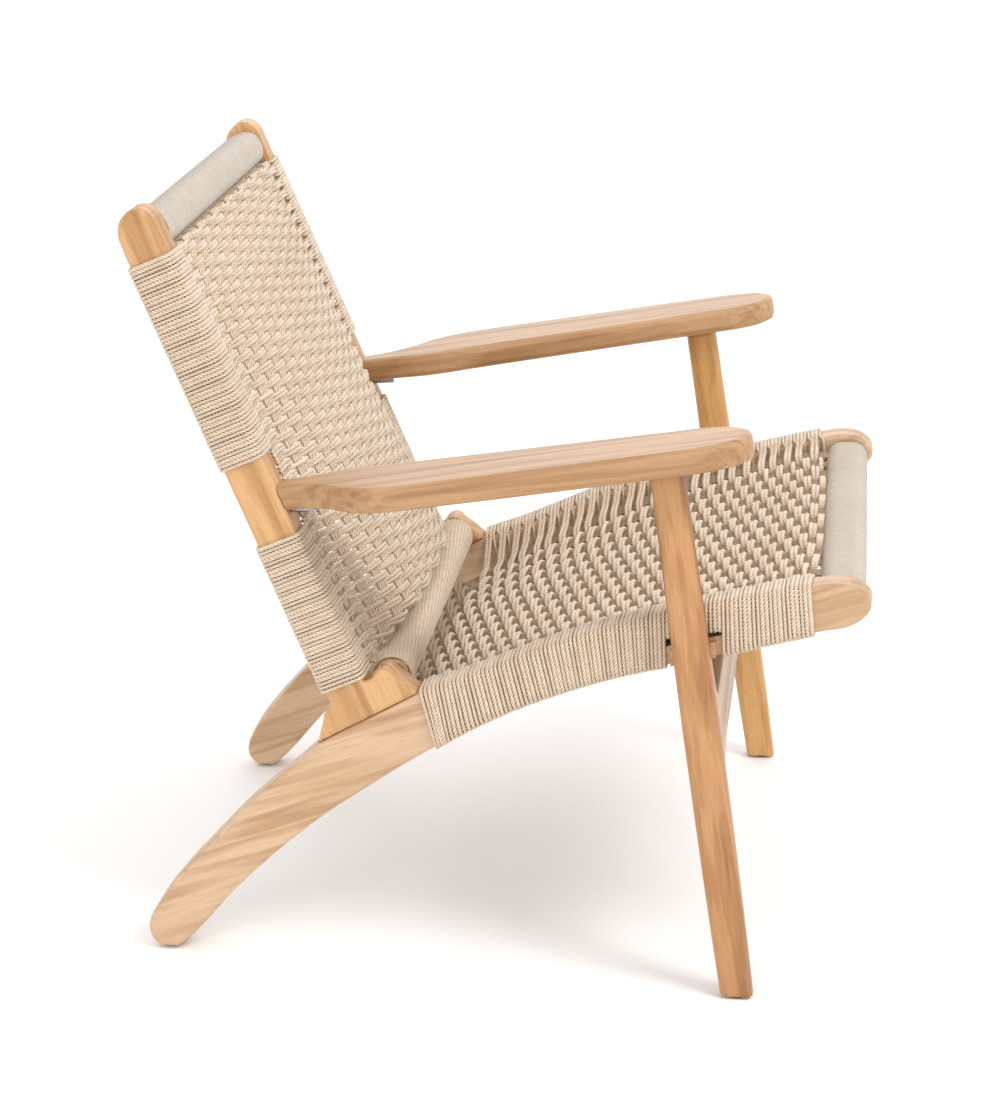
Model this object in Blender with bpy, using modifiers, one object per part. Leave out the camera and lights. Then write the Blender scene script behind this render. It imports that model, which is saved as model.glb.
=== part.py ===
"""Lounge armchair: a solid-wood frame with a woven paper-cord seat and back.

The frame is in metres: +X is the sitter's left, the front of the chair faces -Y, +Z is up,
and the origin is on the floor under the middle of the chair.
"""

import math

import bmesh
import bpy
from mathutils import Matrix, Vector

# ---- driving dimensions -------------------------------------------------------------
GAP = 0.0003                    # clearance between touching pieces
SKIN = 0.0038                   # thickness of a layer of cord on the wood
PANEL_T = 0.008                 # thickness of the woven seat and back

BOARD = 0.036                   # thickness of the side boards and the back stiles
FRAME_X = 0.2941                # outer face of a side board, at y = 0
TAPER = 0.0344                  # how much the frame narrows for each metre rearwards
GLIDE_T = 0.003                 # thickness of a foot glide

RECLINE = 0.43                  # how far the back stile leans, per metre of height
STILE_FRONT = (0.302, 0.695)    # a point on the front face of the stile
STILE_DEPTH = 0.040

LEG_T = 0.025                   # thickness of the front leg
LEG_SPLAY = 0.0622              # how far it spreads outwards, per metre downwards
LEG_LEAN = 0.146                # how far it leans back, per metre of height
LEG_FOOT_Y = -0.234
LEG_OFFSET = 0.006              # from the side board to the leg, at the height of JOINT
JOINT = (-0.1875, 0.340)        # middle of the slot beside the leg

STRETCHER_T = 0.022
STRETCHER_Y = -0.2390           # y of the stretcher's middle plane, at z = 0

ARM_T = 0.0242
ARM_RISE = 0.156                # how much the armrest rises, per metre forwards
ARM_TOP = 0.5029                # height of the armrest's top face, at y = 0

# centre (y, z), size along and across its own axis, lean from the vertical, corner radius
CREST = dict(centre=(0.3275, 0.7025), size=(0.034, 0.030), lean=math.atan(RECLINE), radius=0.012)
BACK_BOTTOM = dict(centre=(0.104, 0.277), size=(0.032, 0.032), lean=0.0, radius=0.0145)
SEAT_FRONT = dict(centre=(-0.324, 0.369), size=(0.036, 0.032), lean=0.0, radius=0.012)
SEAT_REAR = dict(centre=(0.152, 0.1985), size=(0.032, 0.026), lean=0.0, radius=0.008)
TENON = (0.020, 0.012, 0.022)   # height, width and depth in the side frame

# where the cord is wrapped round the stile, measured up its own length
UPPER_WRAP = (0.545, 0.7545)
LOWER_WRAP = (0.312, 0.466)
BACK_TOP = 0.7520               # where the woven back ends, measured the same way
# where it is wrapped round the side board, as y at the board's top
REAR_WRAP = (-0.1630, 0.068)
FRONT_WRAP = (-0.2970, -0.2120)
TURN_LEAN = (0.12, 0.58)        # how square the turns are to the board, at the leg and far from it
LEAN_REACH = (0.025, 0.145)     # how far from the leg the lean starts to grow, and stops

WOOD = (0.72, 0.47, 0.25)
END_WOOD = (0.66, 0.41, 0.20)
CORD_COLOUR = (0.80, 0.70, 0.56)
CREAM = (0.82, 0.77, 0.68)

# ---- outlines of the side pieces, as (y, z); True marks a sharp corner ---------------
RAIL_TOP = [(-0.322, 0.3955), (-0.297, 0.3920), (-0.240, 0.3790), (-0.180, 0.3645),
            (-0.120, 0.3480), (-0.060, 0.3270), (0.000, 0.3015), (0.035, 0.2870), (0.060, 0.2785),
            (0.067, 0.2758), (0.074, 0.2725)]
RAIL_BOTTOM = [(-0.303, 0.3480), (-0.250, 0.3340), (-0.196, 0.3185), (-0.128, 0.3025),
               (-0.063, 0.2810), (0.002, 0.2525), (0.061, 0.2180), (0.123, 0.1770)]
JOINT_FRONT = RAIL_TOP[-1]
JOINT_REAR = (0.171, 0.2190)
LEG_BACK = [(0.180, 0.2090), (0.232, 0.1630), (0.274, 0.1190), (0.316, 0.0710),
            (0.332, 0.0480), (0.3425, 0.0240), (0.3400, 0.0110)]
LEG_UNDER = [(0.296, 0.0190), (0.255, 0.0660), (0.179, 0.1360)]
FOOT_FLAT = (0.314, 0.332)      # y of the flat under the rear foot

ARM_OUTLINE = [(0.2560, 0.225, True), (0.2865, 0.225, True), (0.2875, 0.190, False),
               (0.3040, 0.1585, False), (0.3290, 0.1340, False), (0.3430, 0.1040, False),
               (0.3480, 0.040, False), (0.3510, -0.070, False), (0.3520, -0.150, False),
               (0.3490, -0.205, False), (0.3350, -0.2320, False), (0.3080, -0.2405, False),
               (0.2830, -0.2310, False), (0.2680, -0.2080, False), (0.2640, -0.165, False),
               (0.2570, -0.060, False), (0.2480, 0.070, False), (0.2425, 0.1350, False),
               (0.2500, 0.1700, False)]


# ---- small geometry helpers -----------------------------------------------------------
def smooth(points, y):
    """Height at y of the smooth line through points sorted by y (Catmull-Rom)."""
    span = 0
    while span < len(points) - 2 and y > points[span + 1][0]:
        span += 1
    before = points[max(span - 1, 0)]
    start, end = points[span], points[span + 1]
    after = points[min(span + 2, len(points) - 1)]
    width = end[0] - start[0]
    t = (y - start[0]) / width
    slope_a = (end[1] - before[1]) / (end[0] - before[0])
    slope_b = (after[1] - start[1]) / (after[0] - start[0])
    return (start[1] * (1 + 2 * t) * (1 - t) ** 2 + slope_a * width * t * (1 - t) ** 2
            + end[1] * t * t * (3 - 2 * t) + slope_b * width * t * t * (t - 1))


def stile_front_y(z):
    """y of the stile's front face at height z."""
    return STILE_FRONT[0] + RECLINE * (z - STILE_FRONT[1])


def frame_matrix(side, depth=0.0, splay=0.0):
    """Local X runs rearwards, local Y up and local Z towards +X, on a side board's plane.

    depth is how far the plane lies inside the board's outer face."""
    along = Vector((-side * TAPER, 1.0, 0.0)).normalized()
    up = Vector((-side * splay, 0.0, 1.0)).normalized()
    across = along.cross(up).normalized()
    up = across.cross(along)
    matrix = Matrix((along, up, across)).transposed().to_4x4()
    matrix.translation = Vector((side * (FRAME_X - depth), 0.0, 0.0))
    return matrix


def lateral_matrix():
    """Local X runs rearwards, local Y up and local Z towards +X."""
    return Matrix(((0, 0, 1, 0), (1, 0, 0, 0), (0, 1, 0, 0), (0, 0, 0, 1)))


def stile_axes():
    """Unit vectors up the stile and square to it, rearwards, as (y, z)."""
    up = Vector((RECLINE, 1.0)).normalized()
    return up, Vector((up.y, -up.x))


def stile_point(along, square):
    """(y, z) of the point at a length up the stile and a distance square to it."""
    up, back = stile_axes()
    return up * along + back * square


def stile_face():
    """Distance, square to the stile, of its front face from the origin."""
    return Vector(STILE_FRONT).dot(stile_axes()[1])


# ---- materials --------------------------------------------------------------------------
def material(name, colour, roughness, metallic=0.0):
    found = bpy.data.materials.new(name)
    found.use_nodes = True
    shader = found.node_tree.nodes["Principled BSDF"]
    shader.inputs["Base Color"].default_value = (*colour, 1.0)
    shader.inputs["Roughness"].default_value = roughness
    shader.inputs["Metallic"].default_value = metallic
    found.diffuse_color = (*colour, 1.0)
    return found


# ---- objects ----------------------------------------------------------------------------
def add_object(name, mesh, matrix, look, collection):
    made = bpy.data.objects.new(name, mesh)
    made.matrix_world = matrix
    made.data.materials.clear()
    if look:
        made.data.materials.append(look)
    collection.objects.link(made)
    return made


def curve_object(name, outlines, half, matrix, look, collection, edge=0.0, steps=4):
    """A flat outline given thickness; an outline is a list of (x, y, corner)."""
    data = bpy.data.curves.new(name, "CURVE")
    data.dimensions = "2D"
    data.fill_mode = "BOTH"
    data.resolution_u = steps
    data.extrude = half - edge
    data.bevel_depth = edge
    data.offset = -edge
    data.bevel_resolution = 1
    for outline in outlines:
        spline = data.splines.new("BEZIER")
        spline.bezier_points.add(len(outline) - 1)
        spline.use_cyclic_u = True
        for point, (x, y, corner) in zip(spline.bezier_points, outline):
            point.co = (x, y, 0.0)
            kind = "VECTOR" if corner else "AUTO"
            point.handle_left_type = kind
            point.handle_right_type = kind
    return add_object(name, data, matrix, look, collection)


def as_mesh(made):
    """Turn a curve object into a closed mesh object of the same name and place."""
    view = bpy.context.view_layer
    view.update()
    mesh = bpy.data.meshes.new_from_object(made.evaluated_get(bpy.context.evaluated_depsgraph_get()))
    matrix = made.matrix_world.copy()
    collection = made.users_collection[0]
    look = made.data.materials[0] if made.data.materials else None
    name = made.name
    bpy.data.objects.remove(made)
    shape = bmesh.new()
    shape.from_mesh(mesh)
    bmesh.ops.remove_doubles(shape, verts=shape.verts, dist=0.00002)
    bmesh.ops.recalc_face_normals(shape, faces=shape.faces)
    shape.to_mesh(mesh)
    shape.free()
    return add_object(name, mesh, matrix, look, collection)


def plate(name, outlines, half, matrix, look, collection, edge=0.0, steps=4):
    return as_mesh(curve_object(name, outlines, half, matrix, look, collection, edge, steps))


def bar_mesh(name, size, matrix, look, collection, edge=0.0):
    """A box of the given size, centred on its matrix, with rounded edges."""
    shape = bmesh.new()
    bmesh.ops.create_cube(shape, size=1.0)
    bmesh.ops.scale(shape, vec=size, verts=shape.verts)
    if edge:
        bmesh.ops.bevel(shape, geom=shape.edges, offset=edge, segments=2, affect="EDGES", profile=0.5)
    mesh = bpy.data.meshes.new(name)
    shape.to_mesh(mesh)
    shape.free()
    return add_object(name, mesh, matrix, look, collection)


def pins(name, places, look, collection, sides=12):
    """One object of separate turned solids.

    A place is a start point, a direction and stages of (radius, length) one after another."""
    shape = bmesh.new()
    for start, direction, stages in places:
        turn = Vector(direction).normalized().to_track_quat("Z", "Y").to_matrix().to_4x4()
        low = 0.0
        rings = []
        for radius, length in stages:
            rings.append((radius, low))
            low += length
            rings.append((radius, low))
        loops = []
        for radius, height in rings:
            ring = []
            for step in range(sides):
                angle = 2 * math.pi * step / sides
                spot = Vector((radius * math.cos(angle), radius * math.sin(angle), height))
                ring.append(shape.verts.new(Matrix.Translation(start) @ turn @ spot))
            loops.append(ring)
        for lower, upper in zip(loops[:-1], loops[1:]):
            for step in range(sides):
                after = (step + 1) % sides
                shape.faces.new((lower[step], lower[after], upper[after], upper[step]))
        shape.faces.new(list(reversed(loops[0])))
        shape.faces.new(loops[-1])
    bmesh.ops.recalc_face_normals(shape, faces=shape.faces)
    mesh = bpy.data.meshes.new(name)
    shape.to_mesh(mesh)
    shape.free()
    return add_object(name, mesh, Matrix.Identity(4), look, collection)


def cut(target, cutters):
    """Take the cutters out of the target."""
    for number, cutter in enumerate(cutters):
        tool = target.modifiers.new("cut_%d" % number, "BOOLEAN")
        tool.operation = "DIFFERENCE"
        tool.object = cutter
        cutter.hide_render = True
        cutter.display_type = "WIRE"


def join(target, addition):
    tool = target.modifiers.new("join", "BOOLEAN")
    tool.operation = "UNION"
    tool.object = addition
    addition.hide_render = True
    addition.display_type = "WIRE"


def rounded(centre, size, radius, lean=0.0, grow=0.0):
    """Outline of a rounded rectangle, size across and up its own axis, leaning rearwards."""
    wide = size[0] / 2 + grow
    high = size[1] / 2 + grow
    corner = radius + grow
    turn = Matrix.Rotation(-lean, 2)
    points = []
    for sign_x, sign_y, start in ((1, 1, 0.0), (-1, 1, 0.5), (-1, -1, 1.0), (1, -1, 1.5)):
        middle = Vector((sign_x * (wide - corner), sign_y * (high - corner)))
        for step in range(5):
            angle = math.pi * (start + 0.5 * step / 4)
            spot = turn @ (middle + Vector((math.cos(angle), math.sin(angle))) * corner)
            points.append((centre[0] + spot.x, centre[1] + spot.y, True))
    return points


# ---- side frames ---------------------------------------------------------------------------
def side_board_outline():
    front = [(-0.3400, 0.3915, False), (-0.3515, 0.3780, False), (-0.3400, 0.3590, False)]
    outline = [(y, z, False) for y, z in reversed(RAIL_TOP[:-1])]
    outline += front
    outline += [(y, z, False) for y, z in RAIL_BOTTOM]
    outline += [(y, z, False) for y, z in reversed(LEG_UNDER)]
    outline += [(FOOT_FLAT[0], GLIDE_T, True), (FOOT_FLAT[1], GLIDE_T, True)]
    outline += [(y, z, False) for y, z in reversed(LEG_BACK)]
    outline += [(*JOINT_REAR, True), (*JOINT_FRONT, True)]
    return outline


def stile_outline():
    """The stile with its spread foot, which sits on the side board."""
    lift = Vector((JOINT_FRONT[1] - JOINT_REAR[1], JOINT_REAR[0] - JOINT_FRONT[0])).normalized() * GAP
    depth = STILE_DEPTH / stile_axes()[0].y
    outline = [(JOINT_REAR[0] + lift.x, JOINT_REAR[1] + lift.y, True),
               (0.1662, 0.2370, False), (0.1625, 0.2520, False)]
    for height in (0.258, 0.266, 0.420, 0.560, 0.675, 0.690):
        outline.append((stile_front_y(height) + depth, height, False))
    outline += [(0.3485, 0.7105, False), (0.3420, 0.7252, False), (0.3285, 0.7320, False),
                (0.3178, 0.7275, False)]
    for height in (0.709, 0.698, 0.560, 0.420, 0.300, 0.288):
        outline.append((stile_front_y(height), height, False))
    outline += [(stile_front_y(0.2835), 0.2835, True), (0.1195, 0.2850, False), (0.1130, 0.2935, False),
                (0.1045, 0.2965, False), (0.0945, 0.2890, False), (0.0825, 0.2805, False),
                (JOINT_FRONT[0] + lift.x, JOINT_FRONT[1] + lift.y, True)]
    return outline


def tenon_cutter(name, section, side, cutters):
    """The mortise for a cross rail's tenon, in the side frame."""
    y, z = section["centre"]
    high, wide, depth = TENON
    inner = FRAME_X - TAPER * y - BOARD
    length = depth + 0.010
    matrix = Matrix.Translation((side * (inner + length / 2 - 0.010 + GAP), y, z))
    matrix = matrix @ Matrix.Rotation(-section["lean"], 4, "X")
    return bar_mesh(name, (length, wide + 2 * GAP, high + 2 * GAP), matrix, None, cutters)


def side_board(side, label, looks, parts, cutters):
    board = plate("side_rail_" + label, [side_board_outline()], BOARD / 2,
                  frame_matrix(side, BOARD / 2), looks["wood"], parts, edge=0.004)
    tools = [tenon_cutter("mortise_seat_front_" + label, SEAT_FRONT, side, cutters),
             tenon_cutter("mortise_seat_rear_" + label, SEAT_REAR, side, cutters)]
    angle = math.atan2(smooth(RAIL_TOP, -0.20) - smooth(RAIL_TOP, -0.17), -0.03)
    slot = frame_matrix(side, BOARD / 2) @ Matrix.Translation((*JOINT, 0.0))
    slot = slot @ Matrix.Rotation(math.pi + angle, 4, "Z")
    tools.append(bar_mesh("cord_slot_" + label, (0.054, 0.008, BOARD * 1.5), slot, None, cutters))
    tools.append(hole_cutter("screw_holes_" + label, leg_screw_places(side, GAP), cutters))
    tools.append(hole_cutter("dowel_holes_" + label, stile_dowel_places(side, GAP), cutters))
    cut(board, tools)
    return board


def back_stile(side, label, looks, parts, cutters):
    stile = plate("back_stile_" + label, [stile_outline()], BOARD / 2,
                  frame_matrix(side, BOARD / 2), looks["wood"], parts, edge=0.004)
    cut(stile, [tenon_cutter("mortise_crest_" + label, CREST, side, cutters),
                tenon_cutter("mortise_back_bottom_" + label, BACK_BOTTOM, side, cutters),
                hole_cutter("stile_dowel_holes_" + label, stile_dowel_places(side, GAP), cutters),
                hole_cutter("arm_screw_holes_" + label, arm_screw_places(side, GAP), cutters)])
    return stile


def hole_cutter(name, places, cutters):
    return pins(name, places, None, cutters)


# ---- fastenings ------------------------------------------------------------------------------
def stile_dowel_places(side, grow=0.0):
    """Two dowels square to the joint between the stile and the side board."""
    along = Vector(JOINT_REAR) - Vector(JOINT_FRONT)
    square = Vector((-along.y, along.x)).normalized()
    places = []
    for share in (0.40, 0.72):
        spot = Vector(JOINT_FRONT) + along * share - square * 0.016
        start = frame_matrix(side, BOARD / 2) @ Vector((spot.x, spot.y, 0.0))
        direction = frame_matrix(side).to_3x3() @ Vector((square.x, square.y, 0.0))
        start -= direction * grow
        places.append((start, direction, [(0.004 + grow, 0.032 + 2 * grow)]))
    return places


def leg_screw_places(side, grow=0.0):
    """Two screws from inside the side board, through the spacer, into the leg."""
    frame = frame_matrix(side)
    outwards = frame.to_3x3() @ Vector((0.0, 0.0, side))
    places = []
    for shift in (-0.012, 0.012):
        y = JOINT[0] + shift
        z = smooth(RAIL_BOTTOM, y) + 0.0088
        start = frame @ Vector((y, z, -side * BOARD))
        start -= outwards * grow
        places.append((start, outwards, [(0.0050 + grow, 0.003 + grow), (0.0025 + grow, 0.055 + grow)]))
    return places


def arm_screw_places(side, grow=0.0):
    """One screw through the stile from behind, into the end of the armrest."""
    z = ARM_TOP - ARM_RISE * 0.200 - 0.0125
    up, back = stile_axes()
    face = Vector((stile_front_y(z), z)) + back * STILE_DEPTH
    frame = frame_matrix(side, BOARD / 2)
    start = frame @ Vector((face.x, face.y, 0.0))
    forwards = frame.to_3x3() @ Vector((-1.0, 0.06, 0.0)).normalized()
    start -= forwards * 0.001
    return [(start, forwards, [(0.0055 + grow, 0.006), (0.003 + grow, 0.060 + grow)])]


def leg_dowel_places(side, grow=0.0):
    """A dowel from the top of the front leg into the armrest."""
    matrix = leg_matrix(side)
    y, z = leg_top_middle()
    direction = matrix.to_3x3() @ Vector((LEG_LEAN, 1.0, 0.0)).normalized()
    start = matrix @ Vector((y, z, 0.0)) - direction * (0.020 + grow)
    return [(start, direction, [(0.006 + grow, 0.034 + 2 * grow)])]


def stretcher_dowel_places(side, grow=0.0):
    """Two dowels between the stretcher's end and the leg."""
    places = []
    for z in (0.234, 0.262):
        y = STRETCHER_Y + LEG_LEAN * z
        x = leg_inner_x(y, z)
        start = Vector((side * (x - 0.022 - grow), y, z))
        places.append((start, Vector((side, 0, 0)), [(0.004 + grow, 0.036 + 2 * grow)]))
    return places


def fastenings(looks, parts):
    """Each dowel and screw is a piece of its own."""
    kinds = (("stile_dowel", stile_dowel_places, "end_wood"), ("leg_dowel", leg_dowel_places, "end_wood"),
             ("stretcher_dowel", stretcher_dowel_places, "end_wood"),
             ("leg_screw", leg_screw_places, "steel"), ("armrest_screw", arm_screw_places, "steel"))
    for name, places, look in kinds:
        for side, label in ((-1, "right"), (1, "left")):
            found = places(side)
            for number, place in enumerate(found):
                suffix = "_%d" % (number + 1) if len(found) > 1 else ""
                pins("%s_%s%s" % (name, label, suffix), [place], looks[look], parts)


# ---- front legs, stretcher, armrests ---------------------------------------------------------
def leg_matrix(side):
    """The middle plane of the front leg; local Y is height."""
    matrix = frame_matrix(side, -LEG_OFFSET - LEG_T / 2 - LEG_SPLAY * JOINT[1], splay=LEG_SPLAY)
    return matrix


def leg_inner_x(y, z):
    return FRAME_X - TAPER * y + LEG_OFFSET + LEG_SPLAY * (JOINT[1] - z)


def leg_top_middle():
    """(y, z) of the middle of the leg's top end, under the armrest."""
    under = ARM_TOP - ARM_T * math.sqrt(1 + ARM_RISE ** 2)
    z = (under - ARM_RISE * LEG_FOOT_Y) / (1 + ARM_RISE * LEG_LEAN)
    return LEG_FOOT_Y + LEG_LEAN * z, z


def front_leg(side, label, looks, parts, cutters):
    widths = [(-0.002, 0.0150), (0.060, 0.0162), (0.200, 0.0172), (0.330, 0.0172), (0.430, 0.0162)]
    stretch = math.sqrt(1 + LEG_SPLAY ** 2)
    front = [(LEG_FOOT_Y + LEG_LEAN * z - half, z * stretch, z < 0) for z, half in widths]
    back = [(LEG_FOOT_Y + LEG_LEAN * z + half, z * stretch, z < 0) for z, half in widths]
    y, z = leg_top_middle()
    top = []
    for half in (-0.0155, 0.0155):
        top.append((y + half, (z - ARM_RISE * half - GAP * 1.5) * stretch, True))
    outline = front + top + list(reversed(back))
    leg = plate("front_leg_" + label, [outline], LEG_T / 2, leg_matrix(side), looks["wood"], parts,
                edge=0.0065)
    under = Matrix.Translation((side * 0.34, LEG_FOOT_Y, GLIDE_T - 0.010))
    cut(leg, [bar_mesh("foot_trim_" + label, (0.08, 0.08, 0.020), under, None, cutters),
              hole_cutter("leg_dowel_hole_" + label, leg_dowel_places(side, GAP), cutters),
              hole_cutter("leg_screw_hole_" + label, leg_screw_places(side, GAP), cutters),
              hole_cutter("leg_stretcher_hole_" + label, stretcher_dowel_places(side, GAP), cutters)])
    return leg


def leg_spacer(side, label, looks, parts, cutters):
    """The block that keeps the leg clear of the cord on the side board."""
    shape = bmesh.new()
    bmesh.ops.create_cube(shape, size=1.0)
    for vert in shape.verts:
        y = JOINT[0] + vert.co.x * 0.042
        low = smooth(RAIL_BOTTOM, y) + 0.0008
        height = 0.0150
        z = low + (vert.co.y + 0.5) * height
        outside = vert.co.z * side > 0
        reach = LEG_OFFSET + LEG_SPLAY * (JOINT[1] - z) - GAP if outside else GAP
        vert.co = Vector((y, z, side * reach))
    mesh = bpy.data.meshes.new("leg_spacer_" + label)
    bmesh.ops.recalc_face_normals(shape, faces=shape.faces)
    shape.to_mesh(mesh)
    shape.free()
    spacer = add_object("leg_spacer_" + label, mesh, frame_matrix(side), looks["end_wood"], parts)
    cut(spacer, [hole_cutter("spacer_screw_hole_" + label, leg_screw_places(side, GAP), cutters)])
    return spacer


def stretcher_matrix():
    up = Vector((0.0, LEG_LEAN, 1.0)).normalized()
    across = Vector((1.0, 0.0, 0.0))
    matrix = Matrix((across, up, across.cross(up))).transposed().to_4x4()
    matrix.translation = Vector((0.0, STRETCHER_Y, 0.0))
    return matrix


def front_stretcher(looks, parts, cutters):
    """A cross board between the legs whose ends rise beside them to the side boards."""
    stretch = math.sqrt(1 + LEG_LEAN ** 2)
    half = []
    for x, z, corner in ((0.0, 0.2200, False), (0.150, 0.2205, False), (0.262, 0.2200, False),
                         (0.294, 0.2130, False), (0.309, 0.2000, False)):
        half.append((x, z, corner))
    for z in (0.190, 0.332):
        half.append((leg_inner_x(-0.205, z) - 0.0008, z, True))
    half += [(0.2860, 0.332, True), (0.2860, 0.290, False), (0.2790, 0.2785, False),
             (0.2600, 0.2755, False), (0.150, 0.2750, False), (0.0, 0.2750, False)]
    outline = [(x, z * stretch, corner) for x, z, corner in half]
    outline += [(-x, z * stretch, corner) for x, z, corner in reversed(half[1:-1])]
    board = plate("front_stretcher", [outline], STRETCHER_T / 2, stretcher_matrix(), looks["wood"],
                  parts, edge=0.003)
    angle = math.atan2(smooth(RAIL_BOTTOM, -0.176) - smooth(RAIL_BOTTOM, -0.208), 0.032)
    middle = Matrix.Translation((0.0, -0.192, smooth(RAIL_BOTTOM, -0.192) - GAP))
    trim = middle @ Matrix.Rotation(angle, 4, "X") @ Matrix.Translation((0.0, 0.0, 0.020))
    cut(board, [bar_mesh("stretcher_trim", (0.80, 0.10, 0.040), trim, None, cutters),
                hole_cutter("stretcher_holes", stretcher_dowel_places(-1, GAP)
                            + stretcher_dowel_places(1, GAP), cutters)])
    return board


def arm_matrix():
    along = Vector((0.0, 1.0, -ARM_RISE)).normalized()
    across = Vector((1.0, 0.0, 0.0))
    matrix = Matrix((across, along, across.cross(along))).transposed().to_4x4()
    centre = ARM_TOP - ARM_T / 2 * math.sqrt(1 + ARM_RISE ** 2)
    matrix.translation = Vector((0.0, 0.0, centre))
    return matrix


def armrest(side, label, looks, parts, cutters):
    stretch = math.sqrt(1 + ARM_RISE ** 2)
    outline = [(side * x, y * stretch, corner) for x, y, corner in ARM_OUTLINE]
    arm = plate("armrest_" + label, [outline], ARM_T / 2, arm_matrix(), looks["wood"], parts, edge=0.006)
    face = stile_face() - GAP + 0.030
    spot = stile_point(0.50, face)
    trim = frame_matrix(side, BOARD / 2) @ Matrix.Translation((spot.x, spot.y, 0.0))
    trim = trim @ Matrix.Rotation(-math.atan(RECLINE), 4, "Z")
    cut(arm, [bar_mesh("arm_trim_" + label, (0.060, 0.20, 0.12), trim, None, cutters),
              hole_cutter("arm_dowel_hole_" + label, leg_dowel_places(side, GAP), cutters),
              hole_cutter("arm_screw_hole_" + label, arm_screw_places(side, GAP), cutters)])
    return arm


# ---- cross rails and their cord ----------------------------------------------------------------
def inner_x(y, cord=False):
    """Half the clear width between the side boards or, with cord, between their wrapping."""
    return FRAME_X - TAPER * y - BOARD - (SKIN if cord else 0.0)


def cross_rail(name, section, looks, parts, cutters):
    y, z = section["centre"]
    half = inner_x(y + section["size"][0] / 2) - GAP
    outline = rounded(section["centre"], section["size"], section["radius"], section["lean"])
    rail = plate(name, [outline], half, lateral_matrix(), looks["wood"], parts, steps=1)
    high, wide, depth = TENON
    length = 2 * (inner_x(y) + depth - 0.002)
    matrix = Matrix.Translation((0.0, y, z)) @ Matrix.Rotation(-section["lean"], 4, "X")
    join(rail, bar_mesh(name + "_tenons", (length, wide, high), matrix, None, cutters, edge=0.002))
    return rail


def cross_wrap(name, section, look, parts):
    """The layer of cord round a cross rail, from one side frame to the other."""
    y, z = section["centre"]
    half = inner_x(y + section["size"][0] / 2, cord=name not in ("crest_wrap", "front_rail_wrap"))
    outer = rounded(section["centre"], section["size"], section["radius"], section["lean"], SKIN)
    inner = rounded(section["centre"], section["size"], section["radius"], section["lean"], GAP)
    return plate(name, [outer, inner], half - 2 * GAP, lateral_matrix(), look, parts, steps=1)


# ---- cord round the side frames ------------------------------------------------------------------
def turn_lean(y):
    """How far a turn of cord leans from upright (0) towards square to the board (1)."""
    share = (abs(y - JOINT[0]) - LEAN_REACH[0]) / (LEAN_REACH[1] - LEAN_REACH[0])
    share = min(1.0, max(0.0, share))
    return TURN_LEAN[0] + (TURN_LEAN[1] - TURN_LEAN[0]) * share


def rail_band(start, end, grow, overrun=0.0):
    """Outline of the side board between two places, grown; its ends are square to the board."""
    steps = max(3, int((end - start) / 0.020))
    top, bottom = [], []
    for number in range(steps + 1):
        y = start - overrun + (end - start + 2 * overrun) * number / steps
        slope = (smooth(RAIL_TOP, min(y + 0.004, 0.06)) - smooth(RAIL_TOP, y - 0.004)) / 0.008
        normal = Vector((-slope, 1.0)).normalized()
        top.append(Vector((y, smooth(RAIL_TOP, y))) + normal * grow)
        low_y = y + turn_lean(y) * slope * 0.060
        bottom.append(Vector((low_y, smooth(RAIL_BOTTOM, low_y))) - normal * grow)
    outline = [(spot.x, spot.y, True) for spot in top]
    outline += [(spot.x, spot.y, True) for spot in reversed(bottom)]
    return outline


def side_wrap(name, side, limits, looks, parts, cutters):
    wrap = plate(name, [rail_band(*limits, SKIN)], BOARD / 2 + SKIN, frame_matrix(side, BOARD / 2),
                 looks["cord"], parts, edge=0.004, steps=1)
    core = plate(name + "_core", [rail_band(*limits, 2 * GAP, overrun=0.012)], BOARD / 2 + GAP,
                 frame_matrix(side, BOARD / 2), None, cutters, steps=1)
    cut(wrap, [core])
    return wrap


def bridge_wrap(name, side, looks, parts, cutters):
    """The cord beside the leg, over the top of the board and in through its slot."""
    outlines = []
    for grow, overrun, lift in ((SKIN, 0.0, 0.0005), (2 * GAP, 0.012, 0.0042)):
        outline = []
        for y in (FRONT_WRAP[1] + 0.0022 - overrun, REAR_WRAP[0] - 0.0022 + overrun):
            outline.append((y, smooth(RAIL_TOP, y) + grow, True))
        for y in (REAR_WRAP[0] - 0.0022 + overrun, FRONT_WRAP[1] + 0.0022 - overrun):
            outline.append((y, JOINT[1] + (JOINT[0] - y) * 0.262 + lift - 0.0005, True))
        outlines.append(outline)
    wrap = plate(name, [outlines[0]], BOARD / 2 + SKIN, frame_matrix(side, BOARD / 2), looks["cord"],
                 parts, steps=1)
    core = plate(name + "_core", [outlines[1]], BOARD / 2 + GAP, frame_matrix(side, BOARD / 2), None,
                 cutters, steps=1)
    cut(wrap, [core])
    return wrap


def stile_wrap(name, side, limits, looks, parts, cutters):
    face = stile_face()
    outlines = []
    for grow, overrun in ((SKIN, 0.0), (GAP, 0.010)):
        corners = ((limits[0] - overrun, face - grow), (limits[1] + overrun, face - grow),
                   (limits[1] + overrun, face + STILE_DEPTH + grow),
                   (limits[0] - overrun, face + STILE_DEPTH + grow))
        outline = []
        for along, square in corners:
            spot = stile_point(along, square)
            outline.append((spot.x, spot.y, True))
        outlines.append(outline)
    wrap = plate(name, [outlines[0]], BOARD / 2 + SKIN, frame_matrix(side, BOARD / 2), looks["cord"],
                 parts, edge=0.0035, steps=1)
    core = plate(name + "_core", [outlines[1]], BOARD / 2 + GAP, frame_matrix(side, BOARD / 2), None,
                 cutters, steps=1)
    cut(wrap, [core])
    return wrap


# ---- woven panels ------------------------------------------------------------------------------------


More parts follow.
